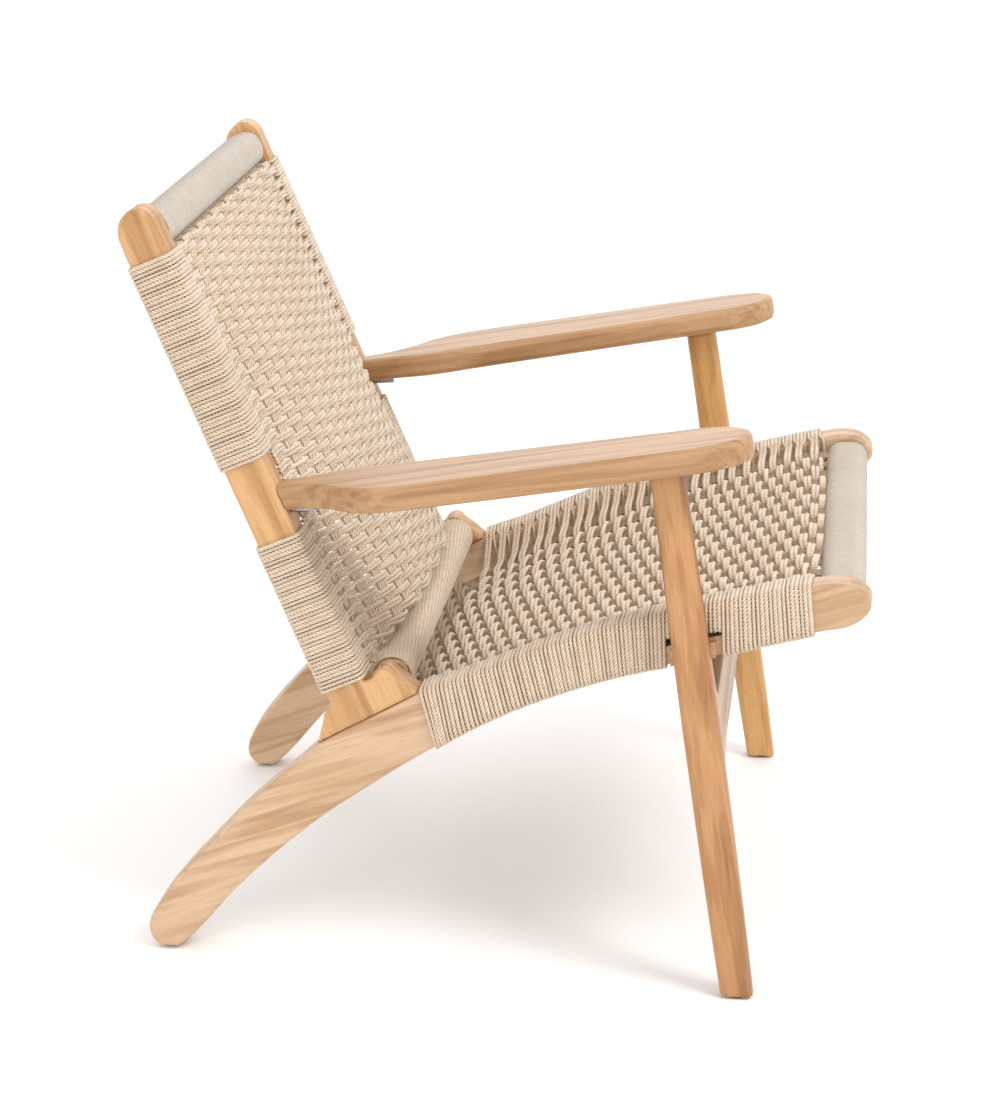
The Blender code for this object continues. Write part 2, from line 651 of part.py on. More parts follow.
def panel(name, rows, place, looks, parts, columns=16):
    """A bent sheet of weave; place(u, v) gives the point at shares across and along."""
    shape = bmesh.new()
    bmesh.ops.create_grid(shape, x_segments=columns, y_segments=rows, size=0.5)
    for vert in shape.verts:
        vert.co = place(vert.co.x * 2, vert.co.y + 0.5)
    mesh = bpy.data.meshes.new(name)
    shape.to_mesh(mesh)
    shape.free()
    made = add_object(name, mesh, Matrix.Identity(4), looks["cord"], parts)
    thick = made.modifiers.new("thickness", "SOLIDIFY")
    thick.thickness = PANEL_T
    thick.offset = 0.0
    return made


def seat_place(across, along):
    """The seat hangs between the tops of the side boards, lowest in the middle."""
    front = SEAT_FRONT["centre"][0] + SEAT_FRONT["size"][0] / 2 + SKIN + PANEL_T
    rear = SEAT_REAR["centre"][0] - SEAT_REAR["size"][0] / 2 - SKIN - PANEL_T
    y = front + (rear - front) * along
    high = SEAT_FRONT["centre"][1] + SEAT_FRONT["size"][1] / 2 - 0.006
    low = SEAT_REAR["centre"][1] + SEAT_REAR["size"][1] / 2 - 0.003
    straight = high + (low - high) * along
    rim = smooth(RAIL_TOP, min(y, 0.060)) - 0.008 if y < 0.02 else straight + 0.010
    lift = abs(across) ** 4 * 0.6
    x = across * (inner_x(y, cord=True) - 0.0025)
    return Vector((x, y, straight + (rim - straight) * lift * (1 - along ** 3)))


def back_place(across, along):
    """The back hangs between the stiles' front faces and over the bottom rail."""
    low = Vector((0.0945, 0.3110))
    high = stile_point(BACK_TOP, stile_face() + 0.004)
    spot = low + (high - low) * along
    face = stile_face() + 0.003
    up, back = stile_axes()
    edge_shift = face - spot.dot(back)
    lift = abs(across) ** 3
    spot = spot + back * edge_shift * lift
    x = across * (inner_x(spot.x, cord=True) - 0.0025)
    return Vector((x, spot.x, spot.y))


# ---- feet ----------------------------------------------------------------------------------------------
def glides(boards, looks, parts, cutters):
    """A nylon disc with a pin under each of the four feet; boards are its side boards and legs."""
    up = Vector((0.0, 0.0, 1.0))
    rear_y = sum(FOOT_FLAT) / 2
    rear_x = FRAME_X - TAPER * rear_y - BOARD / 2
    front_x = leg_inner_x(LEG_FOOT_Y, 0.0) + LEG_T / 2
    for (name, board), (side, x, y) in zip(boards.items(), ((-1, rear_x, rear_y), (-1, front_x, LEG_FOOT_Y),
                                                            (1, rear_x, rear_y), (1, front_x, LEG_FOOT_Y))):
        place = Vector((side * x, y, 0.0))
        pins("foot_glide_" + name, [(place, up, [(0.0075, GLIDE_T - GAP), (0.0015, 0.012)])],
             looks["nylon"], parts)
        hole = pins("glide_hole_" + name, [(place, up, [(0.0015 + GAP, 0.015 + GAP)])], None, cutters)
        cut(board, [hole])


# ---- the chair ---------------------------------------------------------------------------------------
def clear_scene():
    for old in list(bpy.data.objects):
        bpy.data.objects.remove(old)


def new_collection(name):
    made = bpy.data.collections.new(name)
    bpy.context.scene.collection.children.link(made)
    return made


def build():
    clear_scene()
    parts = new_collection("woven_lounge_armchair")
    cutters = new_collection("cutters")
    looks = {"wood": material("wood", WOOD, 0.45), "end_wood": material("end_wood", END_WOOD, 0.6),
             "cord": material("paper_cord", CORD_COLOUR, 0.8), "cream": material("cream_cord", CREAM, 0.8),
             "steel": material("steel", (0.55, 0.55, 0.56), 0.35, 1.0),
             "nylon": material("nylon", (0.05, 0.045, 0.04), 0.5)}
    boards = {}
    for side, label in ((-1, "right"), (1, "left")):
        boards["rear_" + label] = side_board(side, label, looks, parts, cutters)
        boards["front_" + label] = front_leg(side, label, looks, parts, cutters)
        back_stile(side, label, looks, parts, cutters)
        leg_spacer(side, label, looks, parts, cutters)
        armrest(side, label, looks, parts, cutters)
        side_wrap("side_wrap_rear_" + label, side, REAR_WRAP, looks, parts, cutters)
        side_wrap("side_wrap_front_" + label, side, FRONT_WRAP, looks, parts, cutters)
        bridge_wrap("side_wrap_leg_" + label, side, looks, parts, cutters)
        stile_wrap("stile_wrap_upper_" + label, side, UPPER_WRAP, looks, parts, cutters)
        stile_wrap("stile_wrap_lower_" + label, side, LOWER_WRAP, looks, parts, cutters)
    front_stretcher(looks, parts, cutters)
    cross_rail("crest_rail", CREST, looks, parts, cutters)
    cross_rail("back_bottom_rail", BACK_BOTTOM, looks, parts, cutters)
    cross_rail("seat_front_rail", SEAT_FRONT, looks, parts, cutters)
    cross_rail("seat_rear_rail", SEAT_REAR, looks, parts, cutters)
    cross_wrap("crest_wrap", CREST, looks["cream"], parts)
    cross_wrap("back_bottom_wrap", BACK_BOTTOM, looks["cord"], parts)
    cross_wrap("front_rail_wrap", SEAT_FRONT, looks["cream"], parts)
    cross_wrap("rear_rail_wrap", SEAT_REAR, looks["cord"], parts)
    panel("woven_seat", 20, seat_place, looks, parts)
    panel("woven_back", 24, back_place, looks, parts)
    fastenings(looks, parts)
    glides(boards, looks, parts, cutters)


build()
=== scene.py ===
"""Looks of the woven lounge armchair: cord laid turn by turn, oiled wood, studio light."""

import math

import bpy
import numpy as np
from mathutils import Matrix, Vector
from mathutils.bvhtree import BVHTree


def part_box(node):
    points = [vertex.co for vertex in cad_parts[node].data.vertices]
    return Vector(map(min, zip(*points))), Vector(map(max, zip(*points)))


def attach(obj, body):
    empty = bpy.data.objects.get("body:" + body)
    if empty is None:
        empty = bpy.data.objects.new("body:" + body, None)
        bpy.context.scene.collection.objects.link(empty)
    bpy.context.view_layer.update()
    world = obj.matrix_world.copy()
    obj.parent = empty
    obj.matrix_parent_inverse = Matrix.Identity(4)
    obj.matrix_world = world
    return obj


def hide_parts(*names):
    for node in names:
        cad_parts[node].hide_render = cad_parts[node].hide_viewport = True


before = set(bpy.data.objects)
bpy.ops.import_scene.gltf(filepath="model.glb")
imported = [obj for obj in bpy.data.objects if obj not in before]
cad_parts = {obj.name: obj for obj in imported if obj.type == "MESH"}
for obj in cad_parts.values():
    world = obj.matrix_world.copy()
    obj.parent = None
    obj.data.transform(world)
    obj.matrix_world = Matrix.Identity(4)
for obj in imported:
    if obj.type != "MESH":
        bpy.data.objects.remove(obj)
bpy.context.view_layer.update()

# ---- driving dimensions, in metres -------------------------------------------------
CORD_R = 0.00200                # radius of the paper cord over its three plies
PLY_GROOVE = 0.68               # radius in the groove between two plies, as a share
GROOVE_PAINTED_SHADE = 0.08             # how light the groove beside the ply is painted, as painted shade between the plies
WEFT_WIDTH = 1.20               # width of a cord in the panels, as a share of its height
WARP_WIDTH = 1.14               # the same, for the lengthwise cords under it
LAY = 0.0108                    # length in which the plies turn once
STEP = 0.0015                   # length of one segment of a cord's mesh
CLEAR = 0.0002                  # between the cord and the wood
PIECE_CORD = 24.0               # the most cord in one piece

SEAT_CORDS = 104                # cords from side to side in the seat, woven in pairs
SEAT_REAR_CORDS = 10            # short cords behind them, under the back
SEAT_TURNS = 93                 # turns of cord on each side board
SEAT_CROWN = 0.0075             # how far the seat bows up from a straight line, front to rear
BACK_CORDS = 122                # cords from side to side in the back
BACK_TURNS = 112                # turns of cord on each stile
WARPS = 14                      # groups of lengthwise cords
WARP_CORDS = 4                  # cords in a group
OVER, UNDER = 0.0044, 0.0037    # height of a weft over a warp, and depth under it
PAST_WARP = 0.30                # how far the weave goes on past the last warp, in warp spacings
WEFT_STEP = 0.002               # between the points that a weft is drawn through
STRAIGHT = 0.10                 # half the width in which a weft runs straight across
PAIR_SQUEEZE = 0.0004           # how much closer than their share the two cords of a pair lie
UNEVEN = 0.00015                # how far the hand that wove it moves a cord
TURN_LEAN = (0.12, 0.58)        # how square a turn is to the side board, at the leg and away from it
LEAN_REACH = (0.025, 0.145)     # how far from the leg the lean starts to grow, and stops
REAR_PITCH = 0.0037             # between the short cords at the rear of the seat
REAR_PAINTED_LIGHTNESS = 0.35                # how light they are painted, as painted shade deep under the back

# A turn's angles are in degrees, outwards over the side that faces the sitter. They count
# from RING_START, which is itself measured from the side that faces the panel.
RING_START = 45
OVER_END = 275                  # where a weft from over the last warp ends
UNDER_SPAN = (235, 270)         # where one from under the last warp lies
HANG_SPAN = (235, 316)          # the same, when it hugs the side frame
TURN_JOIN = 225                 # where a spare turn begins and ends, on the hidden side
INNER_END = (2, 24)             # where the side towards the panel ends, and over how many degrees
INNER_START = (262, 22)         # where it begins again
SPARE_SINK = 0.0006             # how far a spare turn lies behind the wefts on that side
LONE_ASIDE = -1.6               # how far a single spare turn moves aside, against the slit
UNDER_APART = 0.6               # between the cords of a pair from under the last warp, in turns

# rail, wrap, material, spacing of the turns, and width of the cord as a share of that
ROLLS = (("crest_rail", "crest_wrap", "cream_cord", 0.0031, 1.12),
         ("seat_front_rail", "front_rail_wrap", "cream_cord", 0.0031, 1.12),
         ("back_bottom_rail", "back_bottom_wrap", "paper_cord", 0.0040, 0.9),
         ("seat_rear_rail", "rear_rail_wrap", "paper_cord", 0.0040, 1.0))
ROLL_TURNS = 20                 # turns in one length of cord on a rail
RIM = 6                         # points round a cord: three plies and the grooves between them

CAMERA_AT = (-3.229, -0.331, 1.259)
CAMERA_YAW = 0.11027            # radians from +X towards +Y
CAMERA_PITCH = 0.27755          # downwards
CAMERA_ROLL = -0.00623
CAMERA_LENS = 108.0             # millimetres, on a sensor 36 mm wide

rng = np.random.default_rng(7)


# ---- reading the frame -------------------------------------------------------------
def mesh_of(node):
    """Vertices and edges of a CAD node."""
    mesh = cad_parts[node].data
    verts = np.empty(len(mesh.vertices) * 3)
    mesh.vertices.foreach_get("co", verts)
    edges = np.empty(len(mesh.edges) * 2, dtype=np.int64)
    mesh.edges.foreach_get("vertices", edges)
    return verts.reshape(-1, 3), edges.reshape(-1, 2)


def slice_points(solid, point, normal, reach):
    """Where a plane cuts the edges of a solid, within reach of the point."""
    verts, edges = solid
    height = (verts - point) @ normal
    low, high = height[edges[:, 0]], height[edges[:, 1]]
    crossing = low * high < 0
    share = (low[crossing] / (low[crossing] - high[crossing]))[:, None]
    start, end = verts[edges[crossing, 0]], verts[edges[crossing, 1]]
    cut = start + (end - start) * share
    return cut[np.linalg.norm(cut - point, axis=1) < reach]


def convex_hull(flat):
    """Corners of the convex hull of 2D points, anticlockwise."""
    ordered = sorted({(round(a, 6), round(b, 6)) for a, b in flat})
    chains = []
    for points in (ordered, ordered[::-1]):
        chain = []
        for spot in points:
            while len(chain) > 1:
                (ax, ay), (bx, by) = chain[-2], chain[-1]
                if (bx - ax) * (spot[1] - ay) - (by - ay) * (spot[0] - ax) > 1e-9:
                    break
                chain.pop()
            chain.append(spot)
        chains.append(chain[:-1])
    return np.array(chains[0] + chains[1])


def ring(solid, point, inward, up, start, low=None, reach=0.075):
    """The way of a cord round a solid, in the plane of inward and up through the point.

    It starts where it faces the angle start (degrees from inward towards up) and goes all
    the way round; returns the points and the angles that they face. low is a height, from
    the point, below which the cord doesn't go."""
    flat = slice_points(solid, point, np.cross(inward, up), reach) - point
    flat = np.stack([flat @ inward, flat @ up], axis=1)
    if low is not None:
        flat[:, 1] = np.maximum(flat[:, 1], low)
    hull = convex_hull(flat)
    sides = np.roll(hull, -1, axis=0) - hull
    faces = np.degrees(np.arctan2(-sides[:, 0], sides[:, 1]))
    points, angles = [], []
    facing = faces[-1]
    for number, corner in enumerate(hull):
        bend = (faces[number] - facing) % 360
        after = facing + (bend if bend < 180 else 0.0)
        fan = np.arange(math.ceil(facing / 15) * 15, after, 15)
        for angle in np.unique(np.concatenate([[facing], fan, [after]])):
            turn = math.radians(angle)
            points.append(corner + (CORD_R + CLEAR) * np.array([math.cos(turn), math.sin(turn)]))
            angles.append(angle)
        facing = after
    angles = (np.array(angles) - start + 0.001) % 360
    first = int(np.argmax(np.diff(angles, prepend=angles[-1]) < -180))
    angles = np.roll(angles, -first)
    points = np.roll(np.array(points), -first, axis=0)
    world = point + points[:, :1] * inward + points[:, 1:] * up
    return world, angles


class Sheet:
    """The middle surface of a woven CAD panel; depth is the axis that it is thin along."""

    def __init__(self, node, depth, run, shape=None, cells=(36, 72)):
        verts, _ = mesh_of(node)
        faces = [tuple(face.vertices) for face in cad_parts[node].data.polygons]
        tree = BVHTree.FromPolygons([Vector(v) for v in verts], faces)
        self.depth, self.run, self.shape = depth, run, shape
        low, high = verts.min(axis=0), verts.max(axis=0)
        self.low, self.high = low, high
        self.across = np.linspace(low[0], high[0], cells[0])
        self.along = np.linspace(low[run] + 0.001, high[run] - 0.001, cells[1])
        heights = np.full(cells, np.nan)
        toward = Vector((0, 0, 0))
        toward[depth] = 1.0
        for i, x in enumerate(self.across):
            for j, along in enumerate(self.along):
                found = []
                for sign, side in ((1, low), (-1, high)):
                    origin = Vector((x, 0, 0))
                    origin[run] = along
                    origin[depth] = side[depth] - sign * 0.05
                    hit = tree.ray_cast(origin, toward * sign)
                    if hit[0] is not None:
                        found.append(hit[0][depth])
                if len(found) == 2:
                    heights[i, j] = sum(found) / 2
        self.heights = fill_gaps(heights)

    def at(self, x, along):
        """Depth of the surface at arrays of places across and along."""
        column = np.interp(x, self.across, np.arange(len(self.across)))
        row = np.interp(along, self.along, np.arange(len(self.along)))
        i = np.clip(column.astype(int), 0, len(self.across) - 2)
        j = np.clip(row.astype(int), 0, len(self.along) - 2)
        u, v = column - i, row - j
        h = self.heights
        found = ((h[i, j] * (1 - u) + h[i + 1, j] * u) * (1 - v)
                 + (h[i, j + 1] * (1 - u) + h[i + 1, j + 1] * u) * v)
        return found if self.shape is None else found + self.shape(x, along)

    def points(self, x, along, height=0.0):
        """Points on the surface, lifted square to it towards the sitter."""
        slope = (self.at(x, along + 0.004) - self.at(x, along - 0.004)) / 0.008
        grown = 1 / np.sqrt(1 + slope ** 2)
        sign = 1.0 if self.depth == 2 else -1.0
        made = np.zeros((len(x), 3))
        made[:, 0] = x
        made[:, self.run] = along - sign * slope * grown * height
        made[:, self.depth] = self.at(x, along) + sign * grown * height
        return made


def fill_gaps(heights):
    """Give the cells past the panel's edge the height of the nearest cell in their row."""
    filled = heights.copy()
    for j in range(filled.shape[1]):
        known = np.flatnonzero(~np.isnan(filled[:, j]))
        if len(known):
            filled[:, j] = np.interp(np.arange(filled.shape[0]), known, filled[known, j])
    known = np.flatnonzero(~np.isnan(filled).any(axis=0))
    for j in range(filled.shape[1]):
        filled[:, j] = filled[:, known[np.argmin(abs(known - j))]]
    return filled


# ---- cords -------------------------------------------------------------------------
def resampled(points, carried, step):
    """The line with points a step apart and its corners eased, and what each point carries."""
    points = np.asarray(points, dtype=float)
    lengths = np.linalg.norm(np.diff(points, axis=0), axis=1)
    keep = np.concatenate([[True], lengths > 1e-6])
    points, carried = points[keep], carried[keep]
    travelled = np.concatenate([[0], np.cumsum(np.linalg.norm(np.diff(points, axis=0), axis=1))])
    count = max(4, int(round(travelled[-1] / step)) + 1)
    places = np.linspace(0, travelled[-1], count)
    line = np.stack([np.interp(places, travelled, points[:, axis]) for axis in range(3)], axis=1)
    load = np.stack([np.interp(places, travelled, column) for column in carried.T], axis=1)
    for _ in range(2):
        line[1:-1] = 0.25 * line[:-2] + 0.5 * line[1:-1] + 0.25 * line[2:]
    return line, load


def cord_tube(line, up, phase, painted_lightness, width):
    """Vertices, faces and painted shading (darker grooves and deep lengths) of a three-ply cord along a
    line; up is off the line.
    """
    count = len(line)
    tangent = np.gradient(line, axis=0)
    tangent /= np.linalg.norm(tangent, axis=1)[:, None]
    side = np.cross(tangent, up)
    side /= np.linalg.norm(side, axis=1)[:, None]
    normal = np.cross(side, tangent)
    travelled = np.concatenate([[0], np.cumsum(np.linalg.norm(np.diff(line, axis=0), axis=1))])
    angle = 2 * math.pi * (travelled[:, None] / LAY + np.arange(RIM)[None] / RIM) + phase
    lobe = (np.arange(RIM) % 2 == 0)[None]
    reach = CORD_R * np.where(lobe, 1.0, PLY_GROOVE)
    out = (reach * np.cos(angle))[..., None] * normal[:, None]
    out = out + (width * reach * np.sin(angle))[..., None] * side[:, None]
    verts = (line[:, None] + out).reshape(-1, 3)
    # painted shade: the grooves between the plies are darkened, and the whole rim is scaled by the
    # painted lightness along the cord
    painted_shading = (np.where(lobe, 1.0, GROOVE_PAINTED_SHADE) * painted_lightness[:, None]).ravel()
    base = np.arange(count - 1)[:, None] * RIM
    here = np.arange(RIM)[None]
    after = (here + 1) % RIM
    quads = np.stack([base + here, base + RIM + here, base + RIM + after, base + after], axis=-1)
    caps = [np.arange(RIM), np.arange(RIM)[::-1] + (count - 1) * RIM]
    return verts, quads.reshape(-1, 4), caps, painted_shading


def cord_piece(name, tubes, look):
    """One mesh object of many cords."""
    verts = np.concatenate([tube[0] for tube in tubes])
    shifts = np.cumsum([0] + [len(tube[0]) for tube in tubes])
    quads = np.concatenate([tube[1] + shift for tube, shift in zip(tubes, shifts)])
    caps = np.concatenate([np.stack(tube[2]) + shift for tube, shift in zip(tubes, shifts)])
    loops = np.concatenate([quads.ravel(), caps.ravel()])
    totals = np.concatenate([np.full(len(quads), 4), np.full(len(caps), RIM)])
    starts = np.concatenate([[0], np.cumsum(totals)[:-1]])
    mesh = bpy.data.meshes.new(name)
    mesh.vertices.add(len(verts))
    mesh.vertices.foreach_set("co", verts.ravel().astype(np.float32))
    mesh.loops.add(len(loops))
    mesh.loops.foreach_set("vertex_index", loops.astype(np.int32))
    mesh.polygons.add(len(totals))
    mesh.polygons.foreach_set("loop_start", starts.astype(np.int32))
    mesh.polygons.foreach_set("use_smooth", np.ones(len(totals), dtype=bool))
    mesh.update(calc_edges=True)
    # painted shade for each point, which the cord material turns into darker colour
    painted_shade = mesh.attributes.new("painted_shade", "FLOAT", "POINT")
    painted_shade.data.foreach_set("value", np.concatenate([tube[3] for tube in tubes]).astype(np.float32))
    mesh.materials.append(look)
    made = bpy.data.objects.new(name, mesh)
    bpy.context.scene.collection.objects.link(made)
    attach(made, "root")
    return made


def cord_pieces(name, lines, look, nodes):
    """Cords as a few pieces of a manageable size, which replace the CAD nodes.

    A line is its points, the direction out of the surface at each, the cord's width as a
    share of its height, and how light it is painted: 1 on the outside, less where it lies deep, as
    painted shade."""
    tubes, piece_length, made = [], 0.0, []
    for points, up, width, painted_lightness in lines:
        carried = np.column_stack([np.broadcast_to(up, points.shape),
                                   np.broadcast_to(painted_lightness, len(points))])
        line, load = resampled(points, carried, STEP)
        length = STEP * len(line)
        if tubes and piece_length + length > PIECE_CORD:
            made.append(cord_piece("%s_%d" % (name, len(made) + 1), tubes, look))
            tubes, piece_length = [], 0.0
        tubes.append(cord_tube(line, load[:, :3], rng.uniform(0, 2 * math.pi), load[:, 3], width))
        piece_length += length
    made.append(cord_piece("%s_%d" % (name, len(made) + 1), tubes, look))
    for piece in made:
        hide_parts(*nodes)


# ---- the way of the cord round the side frames -------------------------------------
def unit(vector):
    vector = np.asarray(vector, dtype=float)
    return vector / np.linalg.norm(vector)


def middle(node):
    low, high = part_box(node)
    return (np.array(low) + np.array(high)) / 2


def mix(low, high, share):
    return low + (high - low) * share


def smooth_step(value):
    value = np.clip(value, 0, 1)
    return value * value * (3 - 2 * value)


class SideBoard:
    """Turns of cord round a side board, by the turn's place along its top edge."""

    def __init__(self, side, label):
        self.side = side
        self.solid = mesh_of("side_rail_" + label)
        places = np.linspace(-0.310, 0.085, 120)
        heights = []
        for y in places:
            cut = slice_points(self.solid, np.array([0, y, 0.3]), np.array([0.0, 1.0, 0.0]), 0.5)
            heights.append(cut[:, 2].max())
        self.places, self.heights = places, np.array(heights)
        front, rear = middle("side_wrap_front_" + label), middle("side_wrap_rear_" + label)
        self.taper = (rear[0] - front[0]) / (rear[1] - front[1])
        self.middle_x = lambda y: front[0] + self.taper * (y - front[1])
        leg_low, leg_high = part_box("side_wrap_leg_" + label)
        self.leg = (leg_low[1] - 0.0012, leg_high[1] + 0.0012)
        slot_front, slot_rear = leg_low[2] + 0.0108, leg_low[2] + 0.0022
        self.slot = lambda y: np.interp(y, (leg_low[1], leg_high[1]), (slot_front, slot_rear))
        wrap_front, wrap_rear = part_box("side_wrap_front_" + label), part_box("side_wrap_rear_" + label)
        self.start = wrap_front[0][1] + 0.0075
        self.end = wrap_rear[1][1] - 0.0042

    def slope(self, y):
        top = np.interp([y - 0.008, y + 0.008], self.places, self.heights)
        return (top[1] - top[0]) / 0.016

    def lean(self, y):
        leg = (self.leg[0] + self.leg[1]) / 2
        share = (abs(y - leg) - LEAN_REACH[0]) / (LEAN_REACH[1] - LEAN_REACH[0])
        return mix(TURN_LEAN[0], TURN_LEAN[1], min(1.0, max(0.0, share)))

    def kind(self, y):
        return "slot" if self.leg[0] < y < self.leg[1] else "full"

    def turn(self, y):
        """Points of the turn that crosses the top edge at y, the angles they face, its axes."""
        slope = self.slope(y)
        lean = -self.lean(y) * slope
        top = np.interp(y, self.places, self.heights)
        point = np.array([self.middle_x(y), y, top])
        run = unit((self.taper, 1.0, -lean))
        inward = unit(np.array([-self.side, 0, 0]) - run * (-self.side * run[0]))
        up = np.cross(run, inward) * self.side
        up = up if up[2] > 0 else -up
        low = None
        if self.kind(y) == "slot":
            low = (self.slot(y) + 2 * CORD_R + 0.0004 - top) / up[2]
        points, angles = ring(self.solid, point, inward, up, RING_START, low)
        return points, angles, inward, up, unit((self.taper, 1.0, slope))


class BackStile:
    """Turns of cord round a back stile, by the turn's length along the stile."""

    def __init__(self, side, label):
        self.side = side
        self.solid = mesh_of("back_stile_" + label)
        lower, upper = "stile_wrap_lower_" + label, "stile_wrap_upper_" + label
        self.axis = unit(middle(upper) - middle(lower))
        self.base = middle(lower)
        spans = [(mesh_of(node)[0] - self.base) @ self.axis for node in (lower, upper)]
        self.start, self.end = spans[0].min() + 0.0005, spans[1].max() - 0.0005
        self.bare = (spans[0].max(), spans[1].min())

    def kind(self, along):
        return "bare" if self.bare[0] < along < self.bare[1] else "full"

    def turn(self, along):
        point = self.base + self.axis * along
        inward = unit(np.array([-self.side, 0, 0]) - self.axis * (-self.side * self.axis[0]))
        up = np.cross(self.axis, inward) * self.side
        up = up if up[1] < 0 else -up
        points, angles = ring(self.solid, point, inward, up, RING_START, reach=0.030)
        return points, angles, inward, up, self.axis


# ---- weaving -----------------------------------------------------------------------
def weave_shape(phase):
    """-1 to 1: a cord's height over and under the warps, flat on top of each."""
    return np.tanh(2.1 * np.cos(phase)) / math.tanh(2.1)


class Weave:
    """A panel of paired cords over and under groups of warps, wound round the side frames."""

    def __init__(self, sheet, sides, cords, turns, first, last, margin, spare, slit, hang,
                 shadow, relief):
        self.sheet, self.sides, self.cords, self.turns = sheet, sides, cords, turns
        self.first, self.last = first, last
        self.margin = margin        # from the outermost warp to the cord on the side frame
        self.slit = slit            # how far spare turns move aside, in turns
        self.hang = hang            # whether a cord from under the last warp hugs the side frame
        self.shadow = shadow        # how light the cords that lie deep in the weave are painted, as painted shade
        self.over, self.under = OVER * relief, UNDER * relief
        self.warp_end = sheet.high[sheet.run]
        self.place = {side: np.zeros(cords) for side in (-1, 1)}    # the turn of each cord
        self.aside = {side: {} for side in (-1, 1)}                 # the shift of each spare turn
        self.rings = {side: self.wind(side, spare) for side in (-1, 1)}
        self.wide = [abs(self.rings[1][number][1][:, 0]).min() for number in (0, turns - 1)]

    def over_at(self, pair, side):
        near = pair % 2 == 0
        return near if side < 0 or WARPS % 2 else not near

    def wind(self, side, spare):
        """Every turn on a side frame, and which turn each cord of the panel belongs to."""
        board = self.sides[side]
        pairs = self.cords // 2
        overs = [self.over_at(pair, side) for pair in range(pairs)]
        fill = self.turns - spare - 2 * sum(overs)
        gaps = pairs - sum(overs)
        self.aside[side] = {number: 0.0 for number in range(spare)}
        number, gap = spare, 0
        for pair, over in enumerate(overs):
            if over:
                self.place[side][2 * pair:2 * pair + 2] = number, number + 1
                number += 2
                continue
            count = fill * (gap + 1) // gaps - fill * gap // gaps
            gap += 1
            middle_place = number + (count - 1) / 2
            self.place[side][2 * pair] = middle_place - UNDER_APART / 2
            self.place[side][2 * pair + 1] = middle_place + UNDER_APART / 2
            for turn in range(count):
                lean = 2 * (turn + 0.5) / count - 1
                self.aside[side][number + turn] = self.slit * (lean * count if count > 1 else LONE_ASIDE)
            number += count
        pitch = (board.end - board.start) / self.turns
        made = []
        for turn in range(self.turns):
            along = board.start + (turn + 0.5) * pitch
            made.append((board.kind(along), *board.turn(along)))
        return made

    def along(self, k):
        return mix(self.first, self.last, (k + 0.5) / self.cords)

    def ring_of(self, k, side):
        return self.rings[side][int(np.clip(round(self.place[side][k]), 0, self.turns - 1))]

    def half_width(self, along):
        """From the middle to the cord on the side frames."""
        low, high = self.sheet.low[self.sheet.run], self.sheet.high[self.sheet.run]
        return mix(self.wide[0], self.wide[1], (along - low) / (high - low))

    def warp_x(self, number, along):
        outer = self.half_width(along) - self.margin
        return outer * (2 * number / (WARPS - 1) - 1)

    def weft(self, k):
        """The whole way of cord k, from one side frame to the other."""
        pair = k // 2
        along = self.along(k)
        outer = self.warp_x(WARPS - 1, along)
        pitch = 2 * outer / (WARPS - 1)
        reach = outer + PAST_WARP * pitch
        x = np.linspace(-reach, reach, int(2 * reach / WEFT_STEP))
        sign = 1 if pair % 2 == 0 else -1
        wave = sign * weave_shape(math.pi * (x + outer) / pitch)
        height = wave * np.where(wave > 0, self.over, self.under) * rng.normal(1.0, 0.05)
        squeeze = (0.5 if k % 2 == 0 else -0.5) * PAIR_SQUEEZE
        places = np.full_like(x, along + squeeze + rng.normal(0, UNEVEN))
        for side in (-1, 1):
            turn = self.ring_of(k, side)[1]
            share = smooth_step((side * x - STRAIGHT) / (self.half_width(along) - STRAIGHT))
            places += (turn[0][self.sheet.run] - along) * share
        points = self.sheet.points(x, places, height)
        ups = np.zeros_like(points)
        ups[:, self.sheet.depth] = 1.0 if self.sheet.depth == 2 else -1.0
        head, head_ups = self.weft_end(k, -1, self.over_at(pair, -1))
        tail, tail_ups = self.weft_end(k, 1, self.over_at(pair, 1))
        # painted shade: a weft is darkened where it dips under the warps
        deep = self.shadow + (1 - self.shadow) * smooth_step((height / self.over + 0.9) / 1.4)
        points = np.concatenate([head[::-1], points, tail])
        ups = np.concatenate([head_ups[::-1], ups, tail_ups])
        painted_lightness = np.concatenate([np.ones(len(head)), deep, np.ones(len(tail))])
        return points, ups, WEFT_WIDTH, painted_lightness

    def weft_end(self, k, side, over):
        """The end of cord k, outwards from the panel, and the direction out of the surface."""
        kind, points, angles, inward, up, run = self.ring_of(k, side)
        points = points + run * (self.place[side][k] - round(self.place[side][k])) * self.spacing(side)
        centre = points.mean(axis=0)
        faces = (points - centre) / np.linalg.norm(points - centre, axis=1)[:, None]
        if kind == "bare":
            edge = points[0] + inward * 0.004
            first = edge - up * (0.001 if over else 0.006)
            return np.array([first, first - inward * 0.002]), np.array([up, up])
        if over:
            keep = angles <= OVER_END
            tail = points[keep]
            tuck = tail[-1] + up * 0.006 - inward * 0.0012
            return np.vstack([tail, tuck]), np.vstack([faces[keep], faces[keep][-1]])
        span = HANG_SPAN if self.hang else UNDER_SPAN
        keep = (angles >= span[0]) & (angles <= span[1])
        tail, tail_faces = points[keep][::-1].copy(), faces[keep][::-1].copy()
        if self.hang:
            tail[0] = tail[0] + unit(tail[-1] - tail[0]) * 0.005
            tail_faces[:] = inward
        return tail, tail_faces

